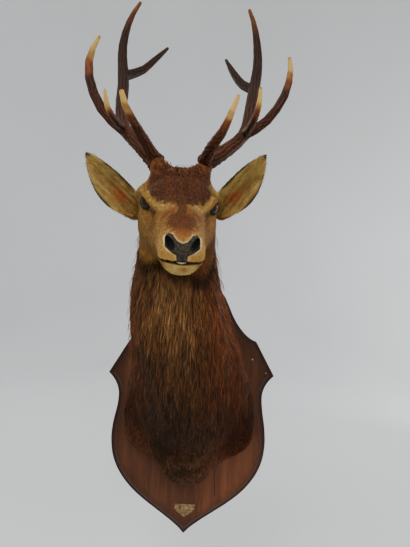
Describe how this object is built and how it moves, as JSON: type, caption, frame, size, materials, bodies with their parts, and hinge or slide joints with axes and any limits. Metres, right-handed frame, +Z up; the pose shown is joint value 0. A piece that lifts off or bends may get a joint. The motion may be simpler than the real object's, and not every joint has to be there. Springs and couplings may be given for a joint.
{
  "type": "red deer stag head mount",
  "caption": "Taxidermy shoulder mount of a red deer stag with branching antlers and ears spread, fixed to a shield-shaped wooden wall board with a small bare label plate.",
  "frame": {"origin": "middle of the board's flat back face, halfway across and about halfway up the shield", "axes": "+Z up, +Y out of the back of the board into the wall, so the stag looks along -Y; +X is the stag's own left"},
  "size_m": [0.495, 0.5676, 1.4238],
  "materials": {
    "board_wood": "stained mahogany-coloured wood, satin varnish, worn at the edges",
    "hanger_iron": "dull blackened iron",
    "label_brass": "worn, tarnished brass",
    "mane": "long coarse deer hair, dark brown with ochre and red streaks",
    "face_coat": "short ochre-tan deer hair, dark brown on the forehead, pale on the chin",
    "ear_coat": "fine yellowish hair with a dark rim",
    "nose_leather": "bare dark grey pebbled nose skin",
    "teeth": "ivory-coloured lower front teeth",
    "eye_glass": "glossy black-brown artificial eye",
    "antler": "dark brown grooved antler bone with polished ivory tips"
  },
  "bodies": {
    "root": {"board": "board_wood", "hanger_strap": "hanger_iron", "hanger_screw_1": "hanger_iron", "hanger_screw_2": "hanger_iron", "label_plate": "label_brass", "label_pin_left": "label_brass", "label_pin_right": "label_brass", "chest": "mane", "neck": "mane", "head": "face_coat", "lower_jaw": "face_coat", "nose_leather": "nose_leather", "incisors": "teeth", "ear_left": "ear_coat", "ear_right": "ear_coat", "eye_left": "eye_glass", "eye_right": "eye_glass", "antler_left_burr": "antler", "antler_left_beam_lower": "antler", "antler_left_beam_upper": "antler", "antler_left_crown_front": "antler", "antler_left_brow_tine": "antler", "antler_left_bez_tine": "antler", "antler_left_trez_tine": "antler", "antler_left_crown_back": "antler", "antler_right_burr": "antler", "antler_right_beam_lower": "antler", "antler_right_beam_upper": "antler", "antler_right_crown_front": "antler", "antler_right_brow_tine": "antler", "antler_right_bez_tine": "antler", "antler_right_trez_tine": "antler", "antler_right_crown_back": "antler"}
  },
  "joints": []
}
